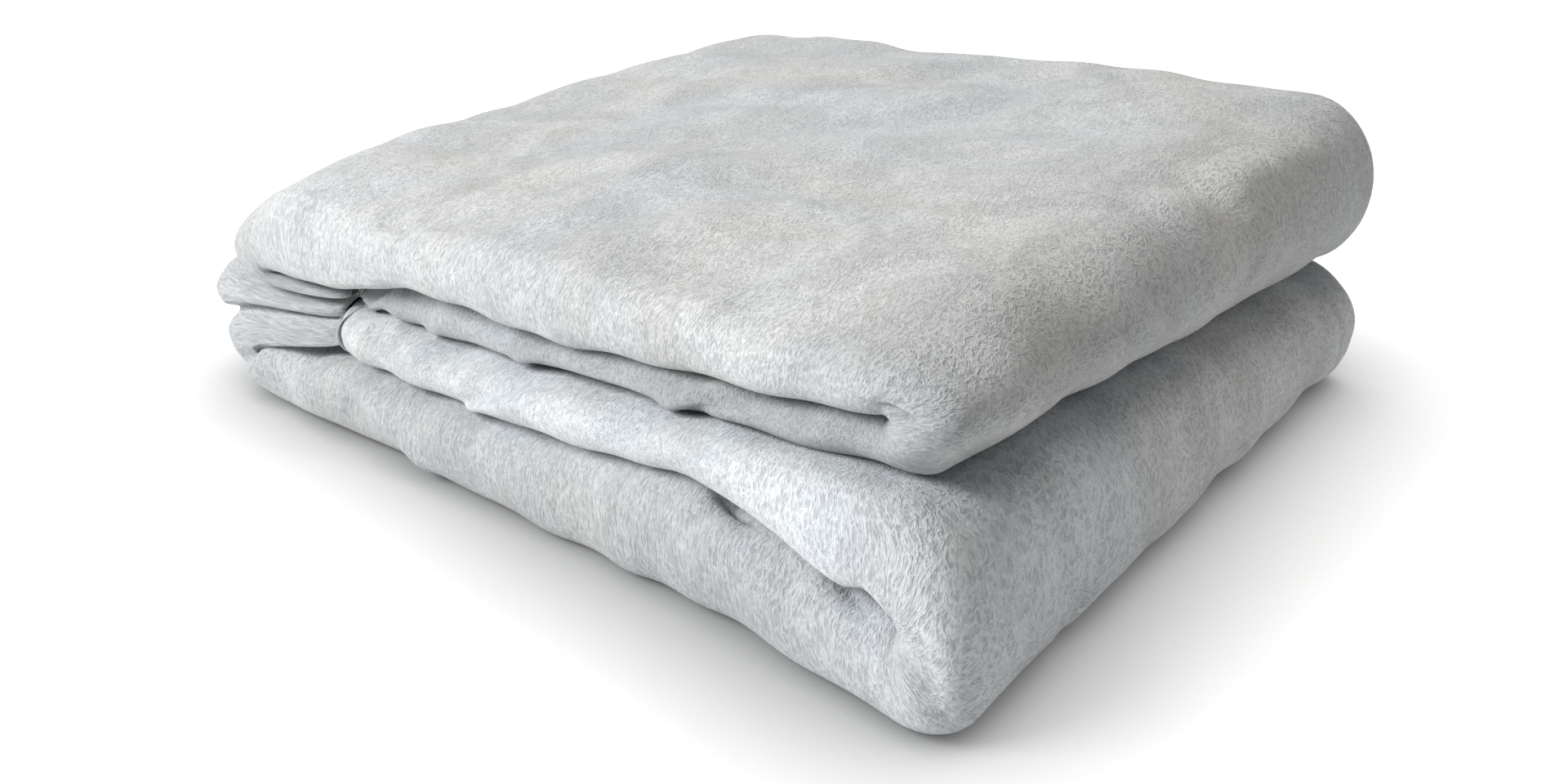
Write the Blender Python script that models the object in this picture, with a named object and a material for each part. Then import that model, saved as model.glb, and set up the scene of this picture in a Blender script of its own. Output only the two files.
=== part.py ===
"""Folded throw blanket: a two-layer plush throw, folded into a stack of four bands.

The flat throw is two plush cloths laid back to back, with a bound hem along each of its
four edges, a line of stitching along each hem and a satin care label.  Every piece is drawn
flat first, in three coordinates: s along the throw's length, u across its width and m
through its thickness.  The fold then carries it to its place in the stack:

* across the width the throw is halved twice, which makes a strip of four plies.  Its near
  edge is bends, and its far edge is one bend and the two side hems;
* along the length both ends of the strip are brought to the middle, and the whole is shut
  like a book, which makes four bands.  Two rolls close the +X end, and one wide spine closes
  the -X end around the two end hems.

The stack lies on z = 0 and is centred on x = y = 0.  X runs from the spine to the rolls, and
the plies' bends face -Y.  Lengths are in metres.
"""

import math

import bpy
import numpy as np

# The throw before it is folded.
THROW_LENGTH = 1.524
THROW_WIDTH = 1.270
CLOTH_THICKNESS = 0.0033

# Hems: a folded binding over the edge of both cloths, and its line of stitching.
HEM_WIDTH = 0.020
HEM_SLOPE = 0.002
BINDING_THICKNESS = 0.0006
THREAD_WIDTH = 0.0010
THREAD_THICKNESS = 0.0005
THREAD_INSET = 0.004

# The care label, sewn to the side hem and hanging down the far side of the stack.
LABEL_WIDTH = 0.030
LABEL_DROP = 0.038
LABEL_THICKNESS = 0.0006
LABEL_OFF_CENTRE = 0.110

# How closely the pieces and the folded bands lie together.
CLEARANCE = 0.0003
BAND_GAP = 0.0006
TONGUE_REACH = 0.004

# Facets in each half turn.
ROLL_FACETS = 8
SPINE_FACETS = 12
INNER_BEND_FACETS = 6
OUTER_BEND_FACETS = 8

# Sizes that follow from the ones above.
PLY_PITCH = 2 * CLOTH_THICKNESS + 2 * CLEARANCE
CLOTH_INNER = CLEARANCE / 2
CLOTH_OUTER = CLOTH_INNER + CLOTH_THICKNESS
INNER_BEND = PLY_PITCH / 2
OUTER_BEND = 3 * PLY_PITCH / 2
HALF_BAND = OUTER_BEND + CLOTH_OUTER
BAND_PITCH = 2 * HALF_BAND + BAND_GAP
ROLL_RADIUS = BAND_PITCH / 2
SPINE_RADIUS = 3 * BAND_PITCH / 2
HEM_OVERHANG = INNER_BEND + CLOTH_OUTER

HEM_CLOTH = CLOTH_THICKNESS - BINDING_THICKNESS - THREAD_THICKNESS - 2 * CLEARANCE
BINDING_INNER = CLOTH_INNER + HEM_CLOTH + CLEARANCE
BINDING_OUTER = BINDING_INNER + BINDING_THICKNESS
THREAD_INNER = BINDING_OUTER + CLEARANCE
THREAD_OUTER = THREAD_INNER + THREAD_THICKNESS
CLOTH_EDGE = BINDING_THICKNESS + CLEARANCE

BENDS_IN_WIDTH = math.pi * (2 * INNER_BEND + OUTER_BEND)
BENDS_IN_LENGTH = math.pi * (2 * ROLL_RADIUS + SPINE_RADIUS)
PLY_RUN = (THROW_WIDTH - 2 * HEM_OVERHANG - BENDS_IN_WIDTH) / 4
BAND_RUN = (THROW_LENGTH - 2 * TONGUE_REACH - BENDS_IN_LENGTH) / 4

STACK_LENGTH = BAND_RUN + ROLL_RADIUS + SPINE_RADIUS + 2 * HALF_BAND
STACK_DEPTH = PLY_RUN + HALF_BAND + HEM_OVERHANG + CLEARANCE + LABEL_THICKNESS
ROLL_X = STACK_LENGTH / 2 - HALF_BAND - ROLL_RADIUS
SPINE_X = ROLL_X - BAND_RUN
NEAR_Y = HALF_BAND - STACK_DEPTH / 2
FAR_Y = NEAR_Y + PLY_RUN
HEM_Y = FAR_Y + HEM_OVERHANG


class FoldLine:
    """A line of straight runs and bends in a plane, measured by the distance along it."""

    def __init__(self, start, heading):
        self.point = np.array(start, dtype=float)
        self.heading = heading
        self.length = 0.0
        self.stations = [0.0]
        self.runs = []

    def straight(self, length):
        """Go straight on for a length."""
        self._add(length, 0.0, 1)

    def bend(self, radius, turn, facets):
        """Turn through an angle, to the left where it is positive, on a radius."""
        self._add(radius * abs(turn), turn, facets)

    def _add(self, length, turn, facets):
        self.runs.append((self.length, length, self.point.copy(), self.heading, turn))
        steps = np.arange(1, facets + 1) / facets
        self.stations.extend(self.length + length * steps)
        self.length += length
        self.point = self.at(np.array([self.length]))[0][0]
        self.heading += turn

    def at(self, distance):
        """Give the points at some distances and the unit normals to the line's right."""
        distance = np.asarray(distance, dtype=float)
        points = np.zeros((len(distance), 2))
        normals = np.zeros((len(distance), 2))
        for begin, length, start, heading, turn in self.runs:
            inside = distance >= begin - 1e-9
            ahead = distance[inside] - begin
            if turn:
                radius = length / turn
                angle = heading + ahead / radius
                step_a = radius * (np.sin(angle) - math.sin(heading))
                step_b = radius * (math.cos(heading) - np.cos(angle))
            else:
                angle = np.full(len(ahead), heading)
                step_a = ahead * math.cos(heading)
                step_b = ahead * math.sin(heading)
            points[inside] = start + np.stack([step_a, step_b], axis=1)
            normals[inside] = np.stack([np.sin(angle), -np.cos(angle)], axis=1)
        return points, normals


def width_line():
    """Fold the width: from one side hem to the other, in the plane of y and n."""
    line = FoldLine((HEM_Y, -INNER_BEND), math.pi)
    line.straight(PLY_RUN + HEM_OVERHANG)
    line.bend(INNER_BEND, -math.pi, INNER_BEND_FACETS)
    line.straight(PLY_RUN)
    line.bend(INNER_BEND, math.pi, INNER_BEND_FACETS)
    line.straight(PLY_RUN)
    line.bend(OUTER_BEND, math.pi, OUTER_BEND_FACETS)
    line.straight(PLY_RUN + HEM_OVERHANG)
    return line


def length_line():
    """Fold the length: from one end hem to the other, in the plane of x and z."""
    third_band_z = HALF_BAND + 2 * BAND_PITCH
    line = FoldLine((SPINE_X - TONGUE_REACH, third_band_z), 0.0)
    line.straight(BAND_RUN + TONGUE_REACH)
    line.bend(ROLL_RADIUS, math.pi, ROLL_FACETS)
    line.straight(BAND_RUN)
    line.bend(SPINE_RADIUS, math.pi, SPINE_FACETS)
    line.straight(BAND_RUN)
    line.bend(ROLL_RADIUS, math.pi, ROLL_FACETS)
    line.straight(BAND_RUN + TONGUE_REACH)
    return line


WIDTH_LINE = width_line()
LENGTH_LINE = length_line()


def folded(flat):
    """Carry flat points (s, u, m) to their places in the folded stack."""
    along, along_normal = LENGTH_LINE.at(flat[:, 0])
    across, across_normal = WIDTH_LINE.at(flat[:, 1])
    side = across + across_normal * flat[:, 2:3]
    place = along + along_normal * side[:, 1:2]
    return np.stack([place[:, 0], side[:, 0], place[:, 1]], axis=1)


def stations_between(stations, low, high, extra=()):
    """Give the stations that lie between two limits, with the limits and the extra ones."""
    inside = [value for value in stations if low + 1e-6 < value < high - 1e-6]
    return np.unique(np.round([low, *inside, *extra, high], 9))


def new_object(name, points, faces, finish):
    """Make a mesh object from points and faces, and give it its own material."""
    mesh = bpy.data.meshes.new(name)
    mesh.from_pydata([tuple(point) for point in points], [], faces)
    mesh.update()
    piece = bpy.data.objects.new(name, mesh)
    bpy.context.scene.collection.objects.link(piece)
    material = bpy.data.materials.new(name)
    material.use_nodes = True
    shader = material.node_tree.nodes["Principled BSDF"]
    color, roughness = finish
    shader.inputs["Base Color"].default_value = (*color, 1.0)
    shader.inputs["Roughness"].default_value = roughness
    shader.inputs["Metallic"].default_value = 0.0
    mesh.materials.append(material)
    return piece


def cloth(name, back, finish):
    """Make one plush cloth: a slab that thins to a flat margin under the hem bindings."""
    margin = HEM_WIDTH + CLEARANCE
    sizes = ((THROW_LENGTH, LENGTH_LINE), (THROW_WIDTH, WIDTH_LINE))
    stations = []
    inset = []
    for size, line in sizes:
        steps = (margin, margin + HEM_SLOPE, size - margin - HEM_SLOPE, size - margin)
        values = stations_between(line.stations, CLOTH_EDGE, size - CLOTH_EDGE, steps)
        stations.append(values)
        inset.append(np.minimum(values, size - values))
    rows, columns = len(stations[0]), len(stations[1])
    from_edge = np.minimum(inset[0][:, None], inset[1][None, :])
    rise = np.clip((from_edge - margin) / HEM_SLOPE, 0.0, 1.0)
    outer = CLOTH_INNER + HEM_CLOTH + (CLOTH_THICKNESS - HEM_CLOTH) * rise
    inner = np.full_like(outer, CLOTH_INNER)
    low, high = (-outer, -inner) if back else (inner, outer)
    grid_s, grid_u = np.meshgrid(*stations, indexing="ij")
    layers = [np.stack([grid_s, grid_u, m], axis=2).reshape(-1, 3) for m in (low, high)]
    index = np.arange(2 * rows * columns).reshape(2, rows, columns)
    return new_object(name, folded(np.concatenate(layers)), slab_faces(index), finish)


def slab_faces(index):
    """List the faces of a slab whose two layers of points are numbered in a grid."""
    low, high = index
    faces = []
    for r in range(low.shape[0] - 1):
        for c in range(low.shape[1] - 1):
            faces.append((high[r, c], high[r + 1, c], high[r + 1, c + 1]))
            faces.append((high[r, c], high[r + 1, c + 1], high[r, c + 1]))
            faces.append((low[r, c], low[r + 1, c + 1], low[r + 1, c]))
            faces.append((low[r, c], low[r, c + 1], low[r + 1, c + 1]))
    rim = [*index[:, :-1, 0].T, *index[:, -1, :-1].T, *index[:, :0:-1, -1].T, *index[:, 0, :0:-1].T]
    for this, after in zip(rim, rim[1:] + rim[:1]):
        faces.append((this[0], after[0], after[1]))
        faces.append((this[0], after[1], this[1]))
    return [tuple(int(corner) for corner in face) for face in faces]


def edge_strip(name, profile, caps, edge, finish):
    """Run a profile of (distance in from the edge, m) along one edge of the throw.

    The edge is "side" or "end", with 0 for the edge at u or s = 0 and 1 for the other one.
    An end strip stops short of the side hems.
    """
    which, far = edge
    on_side = which == "side"
    line = LENGTH_LINE if on_side else WIDTH_LINE
    size = THROW_LENGTH if on_side else THROW_WIDTH
    across_size = THROW_WIDTH if on_side else THROW_LENGTH
    stop = 0.0 if on_side else HEM_WIDTH + CLEARANCE
    stations = stations_between(line.stations, stop, size - stop)
    profile = np.array(profile)
    inward = across_size - profile[:, 0] if far else profile[:, 0]
    along = np.repeat(stations, len(profile))
    across = np.tile(inward, len(stations))
    thickness = np.tile(profile[:, 1], len(stations))
    columns = (along, across, thickness) if on_side else (across, along, thickness)
    faces = strip_faces(len(stations), len(profile), caps)
    if on_side != bool(far):
        faces = [face[::-1] for face in faces]
    return new_object(name, folded(np.stack(columns, axis=1)), faces, finish)


def strip_faces(rows, corners, caps):
    """List the faces of a profile carried along a row of stations, with its two end caps."""
    faces = []
    for row in range(rows - 1):
        for corner in range(corners):
            here = row * corners + corner
            beside = row * corners + (corner + 1) % corners
            faces.append((here, here + corners, beside + corners))
            faces.append((here, beside + corners, beside))
    last = (rows - 1) * corners
    faces.extend(tuple(cap) for cap in caps)
    faces.extend(tuple(last + corner for corner in reversed(cap)) for cap in caps)
    return faces


def hem_binding(name, edge, finish):
    """Make the binding of one edge: a strip folded over the edge of both cloths."""
    web = BINDING_THICKNESS
    profile = [
        (web, BINDING_INNER),
        (HEM_WIDTH, BINDING_INNER),
        (HEM_WIDTH, BINDING_OUTER),
        (0.0, BINDING_OUTER),
        (0.0, -BINDING_OUTER),
        (HEM_WIDTH, -BINDING_OUTER),
        (HEM_WIDTH, -BINDING_INNER),
        (web, -BINDING_INNER),
    ]
    caps = [(0, 1, 2, 3), (0, 3, 4, 7), (4, 5, 6, 7)]
    return edge_strip(name, profile, caps, edge, finish)


def hem_thread(name, edge, finish):
    """Make the stitching of one hem, as one flat line on the binding's face side."""
    middle = HEM_WIDTH - THREAD_INSET
    low, high = middle - THREAD_WIDTH / 2, middle + THREAD_WIDTH / 2
    profile = [
        (low, THREAD_INNER),
        (high, THREAD_INNER),
        (high, THREAD_OUTER),
        (low, THREAD_OUTER),
    ]
    return edge_strip(name, profile, [(0, 1, 2, 3)], edge, finish)


def care_label(name, finish):
    """Make the label: a flat tab that hangs from the top band's hem down the far side."""
    top_band_z = HALF_BAND + 3 * BAND_PITCH
    low = np.array([LABEL_OFF_CENTRE, HEM_Y + CLEARANCE, top_band_z - LABEL_DROP])
    size = np.array([LABEL_WIDTH, LABEL_THICKNESS, LABEL_DROP])
    corners = np.stack(np.meshgrid((0, 1), (0, 1), (0, 1), indexing="ij"), axis=-1)
    index = np.arange(8).reshape(2, 2, 2).transpose(2, 0, 1)
    return new_object(name, low + corners.reshape(-1, 3) * size, slab_faces(index), finish)


def main():
    """Clear the scene and build the throw."""
    for old in list(bpy.data.objects):
        bpy.data.objects.remove(old, do_unlink=True)
    plush = ((0.59, 0.59, 0.58), 0.95)
    plush_back = ((0.56, 0.57, 0.58), 0.95)
    binding = ((0.53, 0.54, 0.55), 0.85)
    thread = ((0.62, 0.62, 0.61), 0.60)
    satin = ((0.80, 0.80, 0.79), 0.40)
    cloth("face_cloth", False, plush)
    cloth("back_cloth", True, plush_back)
    edges = {
        "first_side": ("side", 0),
        "second_side": ("side", 1),
        "first_end": ("end", 0),
        "second_end": ("end", 1),
    }
    for name, edge in edges.items():
        hem_binding(name + "_hem_binding", edge, binding)
        hem_thread(name + "_hem_thread", edge, thread)
    care_label("care_label", satin)


main()
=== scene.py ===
"""Looks of the folded throw blanket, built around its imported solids.

The throw is drawn flat, in s along its length, u across its width and m through its
thickness, all in metres.  A Fold carries flat points into the stack, and a Lie then lets the
stack settle as a soft one does: its bands swell, sag and slide over each other.  Every piece
goes through the same two steps, so that the cloths, hems and stitches stay together.
"""

import logging
import math
from dataclasses import dataclass
from enum import Enum, IntEnum
from functools import partial

import bpy
import numpy as np
from mathutils import Matrix, Vector


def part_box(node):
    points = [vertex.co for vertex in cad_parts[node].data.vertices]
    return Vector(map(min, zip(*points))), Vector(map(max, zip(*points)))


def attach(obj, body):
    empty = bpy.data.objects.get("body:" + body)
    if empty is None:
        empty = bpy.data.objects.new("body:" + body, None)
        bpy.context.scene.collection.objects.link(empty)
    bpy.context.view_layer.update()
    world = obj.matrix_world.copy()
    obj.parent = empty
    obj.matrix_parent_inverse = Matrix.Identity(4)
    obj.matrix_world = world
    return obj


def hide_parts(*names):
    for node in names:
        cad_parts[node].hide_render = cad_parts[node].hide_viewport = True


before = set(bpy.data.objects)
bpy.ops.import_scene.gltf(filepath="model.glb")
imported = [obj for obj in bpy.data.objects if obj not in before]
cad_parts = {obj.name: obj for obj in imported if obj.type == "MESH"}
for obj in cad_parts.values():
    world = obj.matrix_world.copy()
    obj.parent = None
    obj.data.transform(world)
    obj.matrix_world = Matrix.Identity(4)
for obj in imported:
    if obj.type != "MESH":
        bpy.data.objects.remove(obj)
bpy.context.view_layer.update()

Array = np.ndarray
Object = bpy.types.Object
Socket = bpy.types.NodeSocket
LOG = logging.getLogger("throw")
SAME = 1e-7  # stations closer than this, in metres, are one
CLOSEST = 2e-4  # the least distance kept between two stations, in metres
TINY = 1e-12  # keeps a division by nothing safe


class Band(Enum):
    """The four bands of the stack, in the order in which the strip runs through them."""

    THIRD = "b"
    TOP = "a"
    BOTTOM = "d"
    SECOND = "c"


class Bend(IntEnum):
    """The half turns of the two fold lines, as numbers of their runs.

    NEAR is a run of the line across the throw, and the others are runs of the line along it.
    """

    UPPER_ROLL = 1
    SPINE = 3
    LOWER_ROLL = 5
    NEAR = 5


# ---- Curves and fields ----


def ease(value: Array) -> Array:
    """Rise smoothly from 0 to 1: three times the square less twice the cube, clipped."""
    value = np.clip(value, 0.0, 1.0)
    return value * value * (3.0 - 2.0 * value)


def ramp(value: Array, start_and_run: tuple) -> Array:
    """Rise from 0 to 1 from a start and over a run."""
    return ease((value - start_and_run[0]) / start_and_run[1])


def window(value: Array, start: float, end: float, soft: float) -> Array:
    """Rise from 0 to 1 after the start and fall back after the end, over a soft margin."""
    return ease((value - start) / soft) * (1.0 - ease((value - end) / soft))


def cubic(t: Array, step: Array, values: tuple, slopes: tuple) -> Array:
    """Blend the values and slopes at the two ends of spans by the cubic Hermite weights.

    Args:
        t: how far along its span each place lies, from 0 to 1.
        step: the spans' lengths.
        values: the values at the spans' starts and at their ends.
        slopes: the slopes at the same ends.

    Returns:
        The blended values.
    """
    keep = 2 * t**3 - 3 * t**2 + 1
    lead = (t**3 - 2 * t**2 + t) * step * slopes[0]
    tail = (t**3 - t**2) * step * slopes[1]
    return keep * values[0] + lead + (1 - keep) * values[1] + tail


@dataclass(frozen=True)
class Keyed:
    """A smooth line through chosen keys: a monotone cubic between (place, value) pairs."""

    keys: tuple

    def at(self, where: Array) -> Array:
        """Read the line.

        Args:
            where: places along the line, of any shape.

        Returns:
            The values there, held at the end values outside the keys.
        """
        places, values = (np.array(column, dtype=float) for column in zip(*sorted(self.keys)))
        steps = np.diff(places)
        rises = np.diff(values) / steps
        slopes = np.zeros_like(values)
        same_way = rises[1:] * rises[:-1] > 0
        mean = 2.0 * rises[1:] * rises[:-1] / np.where(same_way, rises[1:] + rises[:-1], 1.0)
        slopes[1:-1] = np.where(same_way, mean, 0.0)
        where = np.clip(where, places[0], places[-1])
        span = np.clip(np.searchsorted(places, where, side="right") - 1, 0, len(steps) - 1)
        t = (where - places[span]) / steps[span]
        ends = (values[span], values[span + 1])
        return cubic(t, steps[span], ends, (slopes[span], slopes[span + 1]))


@dataclass(frozen=True)
class Ripples:
    """A gentle unevenness: a sum of cosine waves with seeded headings, lengths and phases."""

    seed: int
    height: float
    shortest: float
    longest: float
    waves: int = 14

    def at(self, a: Array, b: Array) -> Array:
        """Read the unevenness at places (a, b), in metres.

        Args:
            a: first coordinates.
            b: second coordinates, of the same shape.

        Returns:
            Heights around zero, whose root mean square is near the wanted height.
        """
        random = np.random.default_rng(self.seed)
        total = np.zeros_like(a, dtype=float)
        for _ in range(self.waves):
            heading, phase = random.uniform(0.0, 2.0 * math.pi, 2)
            length = random.uniform(self.shortest, self.longest)
            turn = (a * math.cos(heading) + b * math.sin(heading)) * 2.0 * math.pi / length
            total += np.cos(turn + phase)
        return total * self.height * math.sqrt(2.0 / self.waves)


@dataclass(frozen=True)
class Stroke:
    """A dent or ridge pressed along a short line on the flat cloth.

    Its section is a bell: depth times the exponential of minus the squared distance from
    the line over the squared width.  A positive depth presses in.
    """

    start: tuple
    end: tuple
    width: float
    depth: float

    def press(self, s: Array, u: Array) -> Array:
        """Give how far the stroke lifts the cloth at flat places (s, u).

        Args:
            s: places along the throw.
            u: places across the throw, of the same shape.

        Returns:
            Heights along the cloth's face, negative where the stroke presses in.
        """
        run = np.array(self.end) - np.array(self.start)
        reach = max(float(run @ run), TINY)
        t = np.clip(((s - self.start[0]) * run[0] + (u - self.start[1]) * run[1]) / reach, 0, 1)
        away = (s - self.start[0] - t * run[0]) ** 2 + (u - self.start[1] - t * run[1]) ** 2
        return -self.depth * np.exp(-away / self.width**2)


# ---- The flat throw, its fold and how the stack lies ----


@dataclass(frozen=True)
class Throw:
    """The flat throw: its cut size, its two cloths and its hems, in metres."""

    length: float = 1.524
    width: float = 1.270
    cloth: float = 0.0033
    clearance: float = 0.0003
    band_gap: float = 0.0006
    tongue_reach: float = 0.004
    hem_width: float = 0.020
    binding: float = 0.0006
    thread: float = 0.0005
    thread_inset: float = 0.004

    @property
    def ply_pitch(self) -> float:
        """Give the distance between the middles of two plies that lie on each other."""
        return 2 * (self.cloth + self.clearance)

    @property
    def outer(self) -> float:
        """Give the distance from the throw's middle to the face of either cloth."""
        return self.clearance / 2 + self.cloth

    @property
    def half_band(self) -> float:
        """Give half the thickness of a band of four plies."""
        return 1.5 * self.ply_pitch + self.outer

    @property
    def band_pitch(self) -> float:
        """Give the distance between the middles of two bands."""
        return 2 * self.half_band + self.band_gap

    @property
    def spine_radius(self) -> float:
        """Give the radius of the spine's bend, in the middle of the strip."""
        return 1.5 * self.band_pitch

    @property
    def hem_overhang(self) -> float:
        """Give how far a side hem reaches past the far bends' centres."""
        return self.ply_pitch / 2 + self.outer

    @property
    def binding_outer(self) -> float:
        """Give the distance from the throw's middle to the outside of a hem binding."""
        return self.outer - self.clearance - self.thread

    @property
    def ply_run(self) -> float:
        """Give the straight run of a ply between its near and far bends."""
        bends = math.pi * 2.5 * self.ply_pitch
        return (self.width - 2 * self.hem_overhang - bends) / 4

    @property
    def band_run(self) -> float:
        """Give the straight run of a band between the spine and its roll."""
        bends = math.pi * 2.5 * self.band_pitch
        return (self.length - 2 * self.tongue_reach - bends) / 4


class FoldLine:
    """A line of straight runs and round bends in a plane, measured by distance along it."""

    def __init__(self, start: tuple, heading: float) -> None:
        """Start the line.

        Args:
            start: its first point in the plane.
            heading: its first heading, as an angle from the plane's first axis.
        """
        self.point = np.array(start, dtype=float)
        self.heading = heading
        self.length = 0.0
        self.runs: list = []

    def go(self, length: float, spacing: float) -> None:
        """Go straight on for a length, with stations at a spacing."""
        self._add(length, 0.0, spacing)

    def bend(self, radius: float, turn: float, spacing: float) -> None:
        """Turn through an angle on a radius, to the left where the angle is positive."""
        self._add(radius * abs(turn), turn, spacing)

    def _add(self, length: float, turn: float, spacing: float) -> None:
        """Add a run, whose radius is its length over its turn."""
        self.runs.append((self.length, length, self.point.copy(), self.heading, turn, spacing))
        self.length += length
        self.point = self.at(np.array([self.length]))[0][0]
        self.heading += turn

    def at(self, distance: Array) -> tuple:
        """Read the line.

        Args:
            distance: distances along it, as a flat array.

        Returns:
            The points there, and the unit normals to the line's right.
        """
        points = np.zeros((len(distance), 2))
        normals = np.zeros((len(distance), 2))
        for begin, length, start, heading, turn, _ in self.runs:
            inside = distance >= begin - 1e-9
            ahead = distance[inside] - begin
            angle = heading + ahead * turn / length
            if turn:
                radius = length / turn
                steps = (np.sin(angle) - math.sin(heading), math.cos(heading) - np.cos(angle))
                points[inside] = start + radius * np.stack(steps, axis=1)
            else:
                ahead_of_start = np.array([math.cos(heading), math.sin(heading)])
                points[inside] = start + ahead[:, None] * ahead_of_start
            normals[inside] = np.stack([np.sin(angle), -np.cos(angle)], axis=1)
        return points, normals

    def round(self, bend: Bend, degrees: float) -> float:
        """Give the distance along the line at an angle round one of its half turns."""
        begin, length = self.runs[bend][:2]
        return begin + length * degrees / 180.0

    def stations(self, low: float = 0.0, high: float = math.inf, coarser: float = 1.0) -> Array:
        """List stations along the line, at each run's own spacing.

        Args:
            low: the first station.
            high: the last station, at most the line's length.
            coarser: how many times wider than its own each run's spacing is made.

        Returns:
            Distances in rising order, both limits among them.
        """
        high = min(high, self.length)
        values = [np.array([low, high])]
        for begin, length, _, _, _, spacing in self.runs:
            count = max(2, math.ceil(length / (spacing * coarser)))
            values.append(begin + length * np.arange(count + 1) / count)
        joined = np.unique(np.round(np.concatenate(values), 7))
        joined = joined[(joined >= low - SAME) & (joined <= high + SAME)]
        apart = np.concatenate([[True], np.diff(joined) > CLOSEST])
        apart[-1] = True
        return joined[apart]


@dataclass
class Fold:
    """The fold of the throw: four plies to a strip, and four bands of strip to the stack.

    Stations lie fine apart where the cloth shows, bend apart round the plies' bends, hidden
    and hidden_bend apart inside the strip, and spine_share of fine apart round the spine.
    """

    throw: Throw
    low: Vector
    high: Vector
    fine: float = 0.0036
    bend: float = 0.0011
    hidden: float = 0.030
    hidden_bend: float = 0.0016
    spine_share: float = 0.3

    def __post_init__(self) -> None:
        """Work out the fold's centres from the frame's box, and lay out both lines."""
        throw = self.throw
        self.roll_x = self.high.x - throw.half_band - throw.band_pitch / 2
        self.spine_x = self.roll_x - throw.band_run
        self.near_y = self.low.y + throw.half_band
        self.far_y = self.near_y + throw.ply_run
        self.hem_y = self.far_y + throw.hem_overhang
        self.across = self._width_line()
        self.along = self._length_line()

    def _width_line(self) -> FoldLine:
        """Fold the width twice, in the plane of y and n."""
        pitch, run = self.throw.ply_pitch, self.throw.ply_run
        line = FoldLine((self.hem_y, -pitch / 2), math.pi)
        line.go(run + self.throw.hem_overhang, self.hidden)
        line.bend(pitch / 2, -math.pi, self.hidden_bend)
        line.go(run, self.hidden)
        line.bend(pitch / 2, math.pi, self.bend)
        line.go(run, self.fine)
        line.bend(1.5 * pitch, math.pi, self.bend)
        line.go(run + self.throw.hem_overhang, self.hidden / 2)
        return line

    def _length_line(self) -> FoldLine:
        """Fold the length twice, in the plane of x and z."""
        pitch, run = self.throw.band_pitch, self.throw.band_run
        third_z = self.throw.half_band + 2 * pitch
        line = FoldLine((self.spine_x - self.throw.tongue_reach, third_z), 0.0)
        line.go(run + self.throw.tongue_reach, self.fine)
        line.bend(pitch / 2, math.pi, self.fine / 2)
        line.go(run, self.fine)
        line.bend(self.throw.spine_radius, math.pi, self.fine * self.spine_share)
        line.go(run, self.fine)
        line.bend(pitch / 2, math.pi, self.fine / 2)
        line.go(run + self.throw.tongue_reach, self.fine)
        return line

    def station(self, band: Band, x: float) -> float:
        """Give the distance along the strip of the place x on a band."""
        begins = [run[0] for run in self.along.runs]
        if band is Band.THIRD:
            return x - (self.spine_x - self.throw.tongue_reach)
        if band is Band.TOP:
            return begins[2] + self.roll_x - x
        if band is Band.BOTTOM:
            return begins[4] + x - self.spine_x
        return begins[6] + self.roll_x - x

    def across_at(self, y: float) -> float:
        """Give the place across the throw that lies at depth y on the strip's outer side."""
        return self.across.runs[4][0] + (self.far_y - y)


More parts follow.
